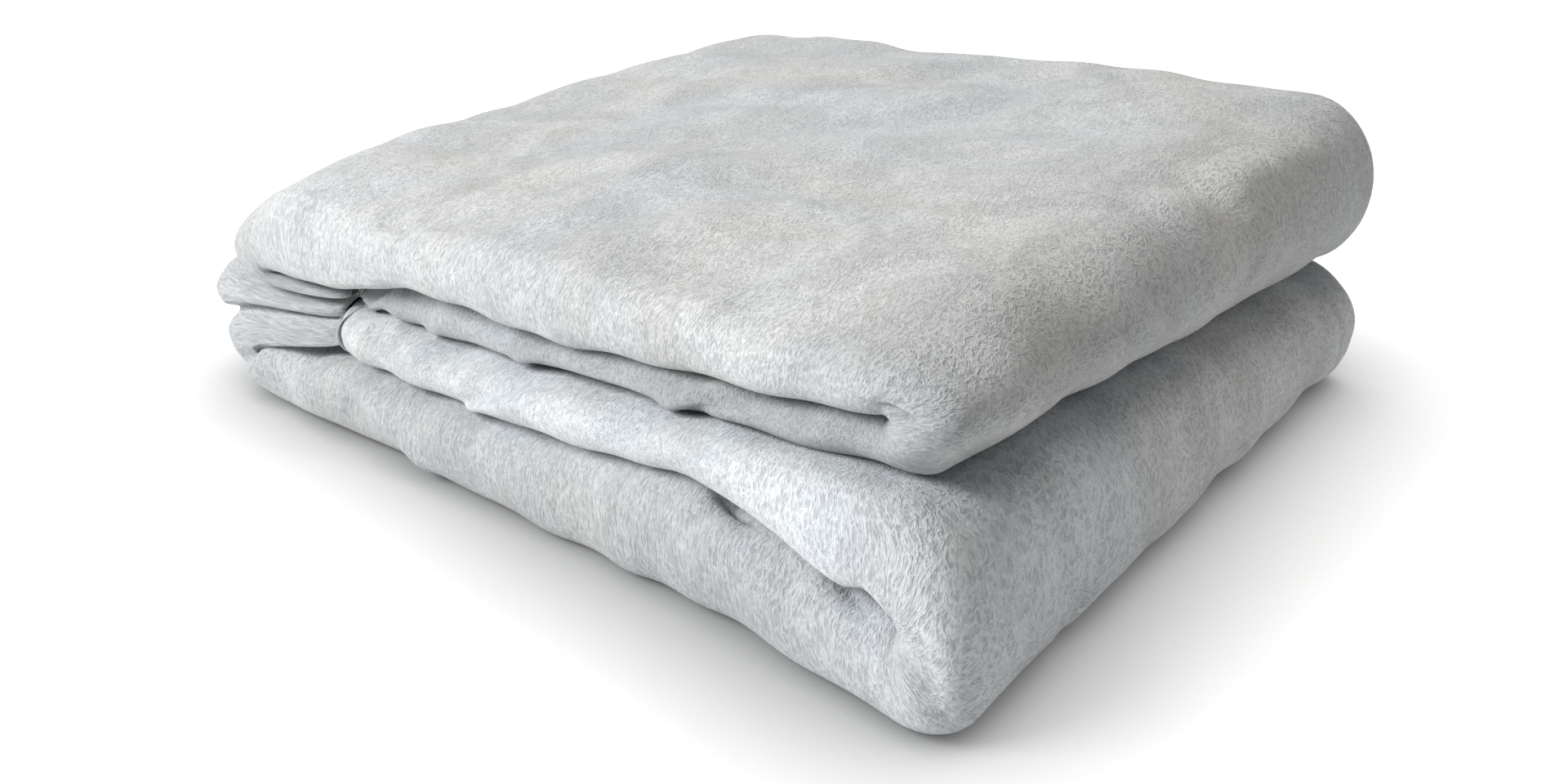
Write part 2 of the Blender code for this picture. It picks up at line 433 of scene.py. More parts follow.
@dataclass
class Lie:
    """How the folded stack lies: the heights of its bands and the slide of its edges.

    Between two bands lies an interface.  Each interface has one line of heights along the
    near edge and one along the far edge, blended across the stack, and the heights between
    interfaces follow a monotone cubic.  A window holds the angles round the spine, in
    radians, where something starts and ends, and its soft margin.  A ramp holds where a
    weight starts to change and over how far.
    """

    fold: Fold
    near_heights: tuple = (
        ((-0.20, 0.030), (-0.15, 0.032), (-0.10, 0.034), (-0.05, 0.0355), (0.0, 0.0395),
         (0.05, 0.045), (0.10, 0.050), (0.118, 0.0515), (0.141, 0.0455), (0.157, 0.041),
         (0.172, 0.0365), (0.186, 0.030), (0.20, 0.025)),
        ((-0.20, 0.053), (-0.15, 0.054), (-0.10, 0.056), (-0.055, 0.0560), (-0.017, 0.0600),
         (0.032, 0.0650), (0.10, 0.0710), (0.15, 0.0755), (0.20, 0.078)),
        ((-0.20, 0.069), (-0.16, 0.062), (-0.118, 0.0645), (-0.06, 0.077), (0.0, 0.078),
         (0.05, 0.0805), (0.10, 0.086), (0.165, 0.092), (0.20, 0.096)),
        ((-0.20, 0.106), (0.0, 0.113), (0.20, 0.119)),
    )
    far_heights: tuple = (
        ((-0.20, 0.028), (0.20, 0.026)),
        ((-0.20, 0.057), (0.20, 0.052)),
        ((-0.20, 0.086), (0.20, 0.087)),
        ((-0.20, 0.117), (0.05, 0.126), (0.20, 0.128)),
    )
    slide_reach: float = 0.075
    pleat_fan: float = 15.0
    fan_soft: float = 0.3
    fan_window: tuple = (0.8, 2.3, 0.4)
    spine_fill: float = 0.060
    fill_reach: float = 0.07
    fill_window: tuple = (0.4, 2.3, 0.7)
    tongue_short: float = 0.020
    tongue_run: float = 0.11
    tongue_ramp: tuple = (0.02, 0.09)
    lobe_start: float = 0.0
    lobe_lean: float = 2.2
    lobe_step: float = 0.006
    lobe_soft: float = 0.014
    low_ramp: tuple = (1.6, 0.8)
    roll_ramp: tuple = (-0.06, 0.07)
    lower_roll_out: tuple = ((-0.16, 0.015), (-0.10, 0.012), (0.16, 0.006))
    roll_sag: float = 0.005
    sag_bands: float = 0.9
    upper_roll_out: tuple = ((-0.16, -0.003), (-0.05, 0.0), (0.16, 0.0))
    spine_out: tuple = ((0.0, -0.024), (0.015, -0.022), (0.040, -0.019), (0.058, -0.014),
                        (0.075, -0.005), (0.100, -0.005))
    spine_ramp: tuple = (0.03, 0.05)
    spine_fade: float = 0.6
    far_out: tuple = ((-0.20, 0.004), (0.05, 0.006), (0.20, 0.014))
    far_ramp: tuple = (0.4, 0.6)
    middle_swell: float = 0.6
    middle_shift: float = 0.3
    shoulder_drop: float = 0.006
    shoulder_reach: float = 0.034
    shoulder_most: float = 1.6
    shoulder_shares: tuple = (1.0, 0.2, 0.7, 0.6)

    def __post_init__(self) -> None:
        """Make the smooth lines that the steps read."""
        self.near = [Keyed(keys) for keys in self.near_heights]
        self.far = [Keyed(keys) for keys in self.far_heights]
        self.slide = Keyed(self._slide_keys())
        self.swell = Ripples(seed=11, height=0.0009, shortest=0.05, longest=0.16)

    def _slide_keys(self) -> tuple:
        """List how far the near edge stands out, at stations along the strip."""
        fold = self.fold
        third = ((-0.156, -0.045), (-0.148, -0.026), (-0.138, -0.015), (-0.09, -0.010),
                 (-0.03, -0.007), (0.03, -0.003), (0.10, -0.001), (0.165, -0.001))
        top = ((0.17, 0.0), (0.10, 0.001), (0.0, 0.002), (-0.10, 0.002))
        spine = ((0, 0.001), (48, 0.0), (56, -0.001), (64, -0.011), (74, -0.009), (92, -0.003),
                 (108, 0.002), (117, 0.001), (122, -0.0055), (127, 0.001), (133, 0.0055),
                 (142, 0.0068), (165, 0.008), (180, 0.009))
        bottom = ((-0.10, 0.009), (0.0, 0.010), (0.10, 0.012), (0.18, 0.017))
        second = ((0.18, 0.017), (0.10, 0.012), (0.03, 0.009), (-0.10, 0.009),
                  (-0.130, 0.007), (-0.139, 0.001), (-0.147, -0.011), (-0.156, -0.036))
        keys = [(fold.station(Band.THIRD, x), out) for x, out in third]
        keys += [(fold.station(Band.TOP, x), out) for x, out in top]
        keys += [(fold.along.round(Bend.SPINE, angle), out) for angle, out in spine]
        keys += [(fold.station(Band.BOTTOM, x), out) for x, out in bottom]
        keys += [(fold.station(Band.SECOND, x), out) for x, out in second]
        return tuple(keys)

    def slid(self, s: Array, y: Array, n: Array) -> Array:
        """Slide the near edge of the strip out or in.

        Args:
            s: distances along the strip.
            y: places across the stack.
            n: distances from the strip's middle, towards its outer side.

        Returns:
            The new places across the stack.
        """
        depth = y - self.fold.low.y
        weight = 1.0 - ease(depth / self.slide_reach)
        angle = self._spine_angle(s)
        fan = np.clip((angle - 0.5 * math.pi) / self.fan_soft, -1.0, 1.0)
        fan = fan * window(angle, *self.fan_window) * self._inside(n)
        fan = fan * math.radians(self.pleat_fan)
        out = self.slide.at(s + fan * self.fold.throw.spine_radius)
        station = self.fold.station(Band.SECOND, self.lobe_start)
        past_lobe = ease((s - station + self.lobe_lean * n) / self.lobe_soft + 0.5)
        return y - (out - self.lobe_step * past_lobe) * weight

    def _inside(self, n: Array) -> Array:
        """Give how far a place lies into the strip's thickness: 0 outermost, 1 innermost."""
        return np.clip(0.5 - n / (2.0 * self.fold.throw.half_band), 0.0, 1.0)

    def _spine_angle(self, s: Array) -> Array:
        """Give the angle round the spine, in radians from its top."""
        return (s - self.fold.along.round(Bend.SPINE, 0.0)) / self.fold.throw.spine_radius

    def tucked(self, s: Array, y: Array, n: Array) -> Array:
        """Crumple the spine's inner plies into its hollow, and shorten the two tongues.

        Args:
            s: distances along the strip.
            y: places across the stack.
            n: distances from the strip's middle, towards its outer side.

        Returns:
            How far each place moves towards the rolls.
        """
        depth = y - self.fold.low.y
        fill = self.spine_fill * self._inside(n) ** 2
        fill = fill * window(self._spine_angle(s), *self.fill_window)
        fill = fill * (1.0 - ease(depth / self.fill_reach))
        from_tip = np.minimum(s, self.fold.throw.length - s)
        tongue = self.tongue_short * (1.0 - ease(from_tip / self.tongue_run))
        return fill + tongue * (1.0 - ramp(depth, self.tongue_ramp))

    def settled(self, place: Array) -> Array:
        """Let points of the even stack settle to where they lie in the soft one.

        Args:
            place: points of the even stack, one a row.

        Returns:
            The settled points.
        """
        x, y, z = place.T
        fold = self.fold
        across = (y - fold.low.y) / (fold.hem_y - fold.low.y)
        pitch = fold.throw.band_pitch
        even = np.arange(5) * pitch
        even[4] -= fold.throw.band_gap
        even[1:4] -= fold.throw.band_gap / 2
        heights = [np.zeros_like(x)]
        for near, far in zip(self.near, self.far):
            heights.append(near.at(x) * (1 - across) + far.at(x) * across)
        heights[2] = heights[2] + self.swell.at(x + self.middle_shift, y) * self.middle_swell
        heights[4] = heights[4] + self.swell.at(x, y) - self._shoulder(x, y)
        settled_z = self._between(z, even, heights)
        low_weight = 1.0 - ramp(z / pitch, self.low_ramp)
        roll_weight = ramp(x - fold.roll_x, self.roll_ramp)
        lower_out = Keyed(self.lower_roll_out).at(y)
        upper_out = Keyed(self.upper_roll_out).at(y)
        sag = self.roll_sag * (1.0 - ease(z / (self.sag_bands * pitch)))
        out = (lower_out + sag) * low_weight + upper_out * (1 - low_weight)
        far_weight = ramp(across, self.far_ramp) * (1 - low_weight)
        before, run = self.spine_ramp
        spine_weight = ease((fold.spine_x + before - x) / run) * (1.0 - self.spine_fade * across)
        moved_x = x + out * roll_weight + Keyed(self.spine_out).at(z) * spine_weight
        moved = (moved_x, y + Keyed(self.far_out).at(x) * far_weight, settled_z)
        return np.stack(moved, axis=1)

    def _shoulder(self, x: Array, y: Array) -> Array:
        """Give how far the top sinks towards its four edges, as a bell over the distance."""
        fold = self.fold
        total = np.zeros_like(x)
        edges = (y - fold.low.y, fold.hem_y - y, fold.high.x - x, x - fold.low.x)
        for distance, share in zip(edges, self.shoulder_shares):
            total += share * np.exp(-((np.maximum(distance, 0.0) / self.shoulder_reach) ** 2))
        return self.shoulder_drop * np.minimum(total, self.shoulder_most)

    @staticmethod
    def _between(z: Array, even: Array, heights: list) -> Array:
        """Carry even heights to settled ones by a monotone cubic through the interfaces."""
        levels = np.stack(heights)
        steps = np.diff(even)[:, None]
        rises = np.diff(levels, axis=0) / steps
        slopes = np.empty_like(levels)
        slopes[0], slopes[-1] = rises[0], rises[-1]
        slopes[1:-1] = 2 * rises[1:] * rises[:-1] / (rises[1:] + rises[:-1])
        span = np.clip(np.searchsorted(even, z, side="right") - 1, 0, 3)
        point = np.arange(len(z))
        step = steps[span, 0]
        t = (z - even[span]) / step
        ends = (levels[span, point], levels[span + 1, point])
        return cubic(t, step, ends, (slopes[span, point], slopes[span + 1, point]))

    def laid(self, s: Array, u: Array, m: Array) -> Array:
        """Carry flat points to where they lie in the settled stack.

        Args:
            s: places along the throw, as a flat array.
            u: places across the throw.
            m: distances from the throw's middle, towards its face.

        Returns:
            The points in the stack, one a row.
        """
        across, across_normal = self.fold.across.at(u)
        side = across + across_normal * m[:, None]
        y, n = side.T
        along, along_normal = self.fold.along.at(s)
        x, z = (along + along_normal * n[:, None]).T
        moved = (x + self.tucked(s, y, n), self.slid(s, y, n), z)
        return self.settled(np.stack(moved, axis=1))


# ---- Meshes ----


def mesh_piece(name: str, points: Array, quads: Array, uv: Array) -> Object:
    """Make a smooth-shaded mesh object from whole arrays.

    Args:
        name: the piece's name.
        points: vertex positions, one a row.
        quads: four vertex numbers a row, anticlockwise from outside.
        uv: flat places of the vertices in metres, one a row.

    Returns:
        The object, at the origin.
    """
    mesh = bpy.data.meshes.new(name)
    mesh.vertices.add(len(points))
    mesh.vertices.foreach_set("co", np.asarray(points, np.float32).ravel())
    mesh.loops.add(quads.size)
    mesh.loops.foreach_set("vertex_index", quads.ravel().astype(np.int32))
    mesh.polygons.add(len(quads))
    mesh.polygons.foreach_set("loop_start", np.arange(0, quads.size, 4, dtype=np.int32))
    mesh.polygons.foreach_set("use_smooth", np.ones(len(quads), dtype=bool))
    layer = mesh.uv_layers.new(name="flat")
    layer.data.foreach_set("uv", uv[quads.ravel()].astype(np.float32).ravel())
    mesh.update(calc_edges=True)
    mesh.validate()
    piece = bpy.data.objects.new(name, mesh)
    bpy.context.scene.collection.objects.link(piece)
    return piece


def grid_quads(rows: int, columns: int, closed: bool = False) -> Array:
    """List the quads of a grid of points.

    Args:
        rows: how many rows of points there are.
        columns: how many points a row holds.
        closed: whether the last point of each row joins the first.

    Returns:
        Four point numbers a row, turning from the row's direction to the column's.
    """
    index = np.arange(rows * columns).reshape(rows, columns)
    if closed:
        index = np.concatenate([index, index[:, :1]], axis=1)
    corners = (index[:-1, :-1], index[1:, :-1], index[1:, 1:], index[:-1, 1:])
    return np.stack(corners, axis=-1).reshape(-1, 4)


def grid_normals(points: Array) -> Array:
    """Give unit normals of a grid of points, from the cross product of its two slopes."""
    normal = np.cross(np.gradient(points, axis=0), np.gradient(points, axis=1))
    size = np.linalg.norm(normal, axis=-1, keepdims=True)
    return normal / np.maximum(size, TINY)


# ---- Finishes ----


class Nodes:
    """A short way to add and join shader nodes in one tree."""

    def __init__(self, tree: bpy.types.NodeTree) -> None:
        """Keep the tree that nodes are added to."""
        self.tree = tree

    def add(self, kind: str, inputs: dict | None = None, **settings: object) -> bpy.types.Node:
        """Add a node.

        Args:
            kind: the node's type name.
            inputs: socket name or number to a value, or to an output socket to join.
            settings: properties of the node itself.

        Returns:
            The node.
        """
        node = self.tree.nodes.new(kind)
        for key, value in settings.items():
            setattr(node, key, value)
        for key, value in (inputs or {}).items():
            if isinstance(value, Socket):
                self.tree.links.new(value, node.inputs[key])
            else:
                node.inputs[key].default_value = value
        return node

    def mix(self, factor: Socket, first: tuple, second: tuple) -> Socket:
        """Mix two colours by a factor, and give the output."""
        node = self.add("ShaderNodeMix", data_type="RGBA")
        colors = [socket for socket in node.inputs if socket.type == "RGBA"]
        colors[0].default_value = (*first, 1.0)
        colors[1].default_value = (*second, 1.0)
        self.tree.links.new(factor, node.inputs[0])
        return [socket for socket in node.outputs if socket.type == "RGBA"][0]

    def vector(self, operation: str, first: object, second: object) -> Socket:
        """Join two vectors, or scale one by a number, and give the output."""
        last = "Scale" if operation == "SCALE" else 1
        node = self.add("ShaderNodeVectorMath", {0: first, last: second}, operation=operation)
        return node.outputs[0]

    def noise(self, place: Socket, scale: float, detail: float = 2.0, roughness: float = 0.5,
              distortion: float = 0.0) -> bpy.types.Node:
        """Add a noise that is read at a place, and give its node."""
        return self.add("ShaderNodeTexNoise", {
            "Vector": place, "Scale": scale, "Detail": detail, "Roughness": roughness,
            "Distortion": distortion})

    def math(self, operation: str, *values: object, clamp: bool = False) -> Socket:
        """Join values by one operation of arithmetic, and give its output."""
        node = self.add("ShaderNodeMath", dict(enumerate(values)), operation=operation)
        node.use_clamp = clamp
        return node.outputs[0]


def new_material(name: str, sockets: dict) -> tuple:
    """Start a material.

    Args:
        name: the material's name.
        sockets: the shader's socket names and their values.

    Returns:
        The material, its node maker and its shader node.
    """
    material = bpy.data.materials.new(name)
    material.use_nodes = True
    shader = material.node_tree.nodes["Principled BSDF"]
    for socket_name, value in sockets.items():
        shader.inputs[socket_name].default_value = value
    return material, Nodes(material.node_tree), shader


@dataclass(frozen=True)
class Pile:
    """The plush pile: fine tufts that lean along a wandering nap.

    The flat place is bent by a slow noise, so that the tufts' lean wanders.  A ridge of a
    noise is one less a factor times its distance from one half, which turns its blobs into
    strands.  Ridges of two sizes and a fine noise add up to the tufts, each with its scale
    and share.  Slow cloudy noises give the patches brushed the other way and the tint: each
    has a scale, an offset, and the two values that are spread from 0 to 1.
    """

    wander: float = 0.006
    wander_scale: float = 45.0
    ridge: float = 6.5
    strands: tuple = (0.55, 0.42)
    fibres: tuple = (1.25, 0.36)
    fuzz: tuple = (3.0, 0.30)
    patch: tuple = (1.0, 0.0, 0.36, 0.66)
    tint: tuple = (0.28, 3.7, 0.35, 0.65)

    def group(self) -> bpy.types.NodeTree:
        """Make the node group that the plush finishes share.

        Returns:
            The group's tree, which turns a place and the sizes of tufts, their lean and the
            clouds into a tone, a patch and a tint.
        """
        tree = bpy.data.node_groups.new("plush_pile", "ShaderNodeTree")
        sockets = (("INPUT", "Vector", ("Place",)), ("INPUT", "Float", ("Tuft", "Lean", "Cloud")),
                   ("OUTPUT", "Float", ("Tone", "Patch", "Tint")))
        for way, kind, names in sockets:
            for name in names:
                tree.interface.new_socket(name=name, in_out=way, socket_type="NodeSocket" + kind)
        nodes = Nodes(tree)
        given, out = nodes.add("NodeGroupInput"), nodes.add("NodeGroupOutput")
        place = given.outputs["Place"]
        slow = nodes.noise(place, self.wander_scale)
        centred = nodes.vector("SUBTRACT", slow.outputs["Color"], (0.5, 0.5, 0.5))
        moved = nodes.vector("ADD", place, nodes.vector("SCALE", centred, self.wander))
        split = nodes.add("ShaderNodeSeparateXYZ", {0: moved})
        per_tuft = nodes.math("DIVIDE", 1.0, given.outputs["Tuft"])
        per_lean = nodes.math("DIVIDE", per_tuft, given.outputs["Lean"])
        tufts = nodes.add("ShaderNodeCombineXYZ", {
            0: nodes.math("MULTIPLY", split.outputs[0], per_tuft),
            1: nodes.math("MULTIPLY", split.outputs[1], per_lean)}).outputs[0]
        strands, fibres = (self._ridged(nodes, tufts, *size) for size in (self.strands, self.fibres))
        fuzz = nodes.noise(tufts, self.fuzz[0], roughness=0.7)
        tone = nodes.math("ADD", nodes.math("ADD", strands, fibres),
                          nodes.math("MULTIPLY", fuzz.outputs[0], self.fuzz[1]))
        per_cloud = nodes.math("DIVIDE", 1.0, given.outputs["Cloud"])
        patch, tint = (self._cloudy(nodes, place, per_cloud, *size) for size in (self.patch, self.tint))
        for name, value in (("Tone", tone), ("Patch", patch), ("Tint", tint)):
            tree.links.new(value, out.inputs[name])
        return tree

    def _ridged(self, nodes: Nodes, tufts: Socket, scale: float, share: float) -> Socket:
        """Add a noise at a scale, turn it into ridges, and weigh them by their share."""
        noise = nodes.noise(tufts, scale, detail=1.0, roughness=0.55, distortion=0.4)
        away = nodes.math("ABSOLUTE", nodes.math("SUBTRACT", noise.outputs[0], 0.5))
        ridges = nodes.math("SUBTRACT", 1.0, nodes.math("MULTIPLY", away, self.ridge), clamp=True)
        return nodes.math("MULTIPLY", ridges, share)

    @staticmethod
    def _cloudy(nodes: Nodes, place: Socket, per_cloud: Socket, scale: float, offset: float,
                low: float, high: float) -> Socket:
        """Add a slow cloudy noise, and spread its values between low and high from 0 to 1."""
        there = nodes.vector("ADD", place, (offset, 0.0, 0.0))
        wide = nodes.vector("SCALE", there, per_cloud)
        clouds = nodes.noise(wide, scale, detail=4.0, roughness=0.6, distortion=1.2)
        spread = nodes.add("ShaderNodeMapRange", {
            "Value": clouds.outputs[0], "From Min": low, "From Max": high},
            interpolation_type="SMOOTHSTEP")
        return spread.outputs[0]


@dataclass(frozen=True)
class PlushFinish:
    """Plush: a matt pile whose tone goes from deep between tufts to pale at their tips.

    The band shade holds places along the throw and how bright the pile is painted there: painted shade,
    darkest on the recessed third band, the upper roll, the spine and the bottom band, and lightest on
    the second band.
    """

    name: str
    deep: tuple = (0.482, 0.490, 0.506)
    pale: tuple = (0.773, 0.783, 0.796)
    warm: tuple = (1.0, 0.985, 0.955)
    cool: tuple = (0.955, 0.98, 1.0)
    tones: tuple = (0.12, 0.82)
    shade: float = 0.84
    tuft: float = 0.0009
    lean: float = 2.2
    cloud: float = 0.045
    bump: float = 0.0004
    strength: float = 0.8
    sheen: float = 0.4
    # painted shade along the throw: each band of the plush is darkened where it lies in shade
    band_shade: tuple = ((0.0, 0.66), (0.310, 0.66), (0.332, 0.74), (0.360, 0.74), (0.400, 0.90),
                  (0.690, 0.90), (0.750, 0.74), (0.800, 0.74), (0.845, 0.76), (1.135, 0.76),
                  (1.165, 0.94), (1.190, 0.94), (1.215, 1.0), (1.524, 1.0))

    def material(self, pile: bpy.types.NodeTree) -> bpy.types.Material:
        """Build the material.

        Args:
            pile: the plush pile group.

        Returns:
            The material.
        """
        material, nodes, shader = new_material(self.name, {
            "Roughness": 0.95, "Specular IOR Level": 0.1, "Sheen Weight": self.sheen,
            "Sheen Roughness": 0.5})
        place = nodes.add("ShaderNodeUVMap", uv_map="flat")
        group = nodes.add("ShaderNodeGroup", node_tree=pile)
        for key, value in (("Tuft", self.tuft), ("Lean", self.lean), ("Cloud", self.cloud)):
            group.inputs[key].default_value = value
        nodes.tree.links.new(place.outputs[0], group.inputs["Place"])
        spread = nodes.add("ShaderNodeMapRange", {
            "Value": group.outputs["Tone"], "From Min": self.tones[0], "From Max": self.tones[1]})
        tone = nodes.mix(spread.outputs[0], self.deep, self.pale)
        tint = nodes.mix(group.outputs["Tint"], self.cool, self.warm)
        patch = nodes.add("ShaderNodeMapRange", {
            "Value": group.outputs["Patch"], "To Min": self.shade, "To Max": 1.0})
        # painted shade: the colour of each band is darkened where the band lies in shade
        painted_shade = self._painted_band_shade(nodes, place.outputs[0])
        tinted = nodes.vector("MULTIPLY", nodes.vector("MULTIPLY", tone, painted_shade), tint)
        shaded = nodes.vector("SCALE", tinted, patch.outputs[0])
        nodes.tree.links.new(shaded, shader.inputs["Base Color"])
        bump = nodes.add("ShaderNodeBump", {
            "Strength": self.strength, "Distance": self.bump, "Height": spread.outputs[0]})
        nodes.tree.links.new(bump.outputs[0], shader.inputs["Normal"])
        return material

    def _painted_band_shade(self, nodes: Nodes, place: Socket) -> Socket:
        """Paint shade on each band by how much light falls on it in the stack.

        Args:
            nodes: the material's node maker.
            place: the flat place, whose first value runs along the throw.

        Returns:
            A grey of painted shade that follows the band shade's keys along the throw.
        """
        length = self.band_shade[-1][0]
        split = nodes.add("ShaderNodeSeparateXYZ", {0: place})
        band = nodes.add("ShaderNodeValToRGB", {0: nodes.math("DIVIDE", split.outputs[0], length)})
        band.color_ramp.interpolation = "EASE"
        stops = band.color_ramp.elements
        for station, _ in self.band_shade[1:-1]:
            stops.new(station / length)
        for stop, (_, value) in zip(stops, self.band_shade):
            stop.color = (value, value, value, 1.0)
        return band.outputs[0]


EVEN_BAND_SHADE = ((0.0, 0.78), (1.524, 0.78))  # the same painted shade all over, which darkens the back cloth where it shows


@dataclass(frozen=True)
class PlainFinish:
    """A flat woven or spun surface with a fine even grain."""

    name: str
    color: tuple
    roughness: float
    sheen: float
    grain: float
    tones: tuple = (0.82, 1.08)
    bump: float = 0.0003
    strength: float = 0.4

    def material(self) -> bpy.types.Material:
        """Build the material, whose colour and bump follow a fine noise on its flat place."""
        material, nodes, shader = new_material(self.name, {
            "Roughness": self.roughness, "Sheen Weight": self.sheen})
        place = nodes.add("ShaderNodeUVMap", uv_map="flat")
        noise = nodes.noise(place.outputs[0], 1.0 / self.grain)
        tones = nodes.add("ShaderNodeValToRGB", {0: noise.outputs[0]})
        for stop, share in zip(tones.color_ramp.elements, self.tones):
            stop.color = (*(min(1.0, share * part) for part in self.color), 1.0)
        nodes.tree.links.new(tones.outputs[0], shader.inputs["Base Color"])
        bump = nodes.add("ShaderNodeBump", {
            "Strength": self.strength, "Distance": self.bump, "Height": noise.outputs[0]})
        nodes.tree.links.new(bump.outputs[0], shader.inputs["Normal"])
        return material


# ---- Pieces ----


@dataclass
class Cloths:
    """The two plush cloths of the throw, thinner under the hems over a step's length."""

    lie: Lie
    unevenness: Ripples = Ripples(seed=5, height=0.0006, shortest=0.03, longest=0.09, waves=24)
    hem_step: float = 0.006
    back_coarser: tuple = (2.5, 1.5)

    def strokes(self) -> list:
        """List the dents and ridges that handling left in the face cloth.

        A row holds a stroke's start, its end, its width and its depth.  A place on a band or
        across it is in metres, and one round a bend in degrees: round a roll from below, the
        spine from its top, and the near edge from the strip's outer side to its inner one.

        Returns:
            The strokes, on the flat throw.
        """
        fold = self.lie.fold
        bands = (Band.TOP, Band.SECOND, Band.THIRD, Band.BOTTOM)
        bends = (Bend.UPPER_ROLL, Bend.LOWER_ROLL, Bend.SPINE)
        top, second, third, bottom = (partial(fold.station, band) for band in bands)
        upper, lower, spine = (partial(fold.along.round, bend) for bend in bends)
        near, across = partial(fold.across.round, Bend.NEAR), fold.across_at
        groups = (
            (top, across, (
                (0.055, 0.100, 0.085, -0.037, 0.011, 0.0009),
                (0.085, -0.037, 0.098, -0.125, 0.009, 0.0009))),
            (top, near, (
                (-0.074, 13, -0.058, 18, 0.004, 0.0022),
                (-0.106, 92, -0.086, 110, 0.004, 0.0022),
                (-0.120, 60, -0.104, 90, 0.006, 0.0012),
                (0.030, 20, 0.048, 80, 0.008, 0.0012),
                (0.095, 10, 0.110, 70, 0.008, -0.0012))),
            (upper, near, (
                (152, 90, 122, 84, 0.004, 0.0035),)),
            (upper, across, (
                (152, 0.042, 149, 0.076, 0.0035, -0.0022),
                (149, 0.076, 141, 0.112, 0.0035, -0.0016),
                (168, 0.030, 140, 0.034, 0.008, 0.0030),
                (172, 0.006, 150, 0.014, 0.005, -0.0018),
                (160, -0.010, 128, -0.002, 0.007, 0.0018),
                (126, 0.010, 112, 0.024, 0.006, 0.0012),
                (92, 0.042, 60, 0.020, 0.003, 0.0014),
                (60, -0.060, 34, -0.080, 0.003, 0.0010))),
            (third, near, (
                (-0.118, 60, -0.090, 140, 0.004, -0.0022),
                (-0.060, 50, -0.036, 130, 0.004, -0.0016),
                (0.004, 60, 0.030, 150, 0.004, -0.0018),
                (0.085, 50, 0.108, 150, 0.004, -0.0022),
                (0.098, 50, 0.121, 150, 0.004, 0.0018))),
            (second, near, (
                (-0.098, 30, -0.062, 80, 0.005, 0.0016),
                (0.058, 20, 0.075, 75, 0.008, 0.0012),
                (0.169, 138, 0.166, 152, 0.003, 0.0040))),
            (bottom, near, (
                (0.114, 176, 0.126, 168, 0.0045, 0.0100),
                (0.122, 160, 0.110, 124, 0.003, 0.0030),
                (0.112, 112, 0.138, 104, 0.006, -0.0018),
                (-0.086, 118, -0.050, 62, 0.005, -0.0024),
                (-0.098, 100, -0.066, 52, 0.006, 0.0020),
                (0.030, 150, 0.056, 60, 0.010, 0.0012),
                (0.158, 172, 0.163, 163, 0.004, 0.0050))),
            (lower, near, (
                (100, 132, 78, 84, 0.0035, 0.0020),
                (116, 92, 62, 52, 0.0035, 0.0018))),
            (lower, across, (
                (106, -0.088, 64, -0.104, 0.004, 0.0024),
                (150, -0.050, 120, -0.020, 0.010, 0.0010))),
            (spine, near, (
                (152, 66, 168, 162, 0.005, 0.0036),
                (164, 70, 176, 160, 0.005, -0.0020))),
            (bottom, near, (
                (-0.142, 84, -0.132, 166, 0.005, 0.0030),)),
        )
        return [Stroke((s_at(s0), u_at(u0)), (s_at(s1), u_at(u1)), width, depth)
                for s_at, u_at, rows in groups for s0, u0, s1, u1, width, depth in rows]

    def face(self) -> Object:
        """Build the face cloth as one grid over the whole flat throw."""
        grid_s, grid_u = self._grid()
        points = self._surface(grid_s, grid_u, 1.0)
        normals = grid_normals(points)
        lift = np.zeros_like(grid_s)
        for stroke in self.strokes():
            lift += stroke.press(grid_s, grid_u)
        lift += self.unevenness.at(grid_s, grid_u)
        points = points + normals * lift[..., None]
        points[..., 2] = np.maximum(points[..., 2], 0.0)
        return self._cloth("plush_face", points, grid_quads(*grid_s.shape), grid_s, grid_u)

    def back(self) -> Object:
        """Build the back cloth, which shows only at the hems, with wider spacing."""
        grid_s, grid_u = self._grid(*self.back_coarser)
        points = self._surface(grid_s, grid_u, -1.0)
        return self._cloth("plush_back", points, grid_quads(*grid_s.shape)[:, ::-1], grid_s, grid_u)

    def _grid(self, coarser_s: float = 1.0, coarser_u: float = 1.0) -> list:
        """Spread stations over the flat throw, inside the bindings' edges."""
        fold = self.lie.fold
        inset = fold.throw.binding
        s = fold.along.stations(inset, fold.throw.length - inset, coarser_s)
        u = fold.across.stations(inset, fold.throw.width - inset, coarser_u)
        return np.meshgrid(s, u, indexing="ij")

    @staticmethod
    def _cloth(name: str, points: Array, quads: Array, *flat: Array) -> Object:
        """Make a cloth's object from its grid of points and the flat places of the grid."""
        uv = np.stack(flat, axis=-1).reshape(-1, 2)
        return mesh_piece(name, points.reshape(-1, 3), quads, uv)

    def _surface(self, grid_s: Array, grid_u: Array, side: float) -> Array:
        """Lay one side of the throw, which is thinner where a hem binding covers it."""
        throw = self.lie.fold.throw
        inward = np.minimum(grid_s, throw.length - grid_s)
        inward = np.minimum(inward, np.minimum(grid_u, throw.width - grid_u))
        rise = ramp(inward, (throw.hem_width, self.hem_step))
        thin = throw.binding_outer - throw.binding - throw.clearance
        reach = thin + (throw.outer - thin) * rise
        laid = self.lie.laid(grid_s.ravel(), grid_u.ravel(), side * reach.ravel())
        return laid.reshape(*grid_s.shape, 3)


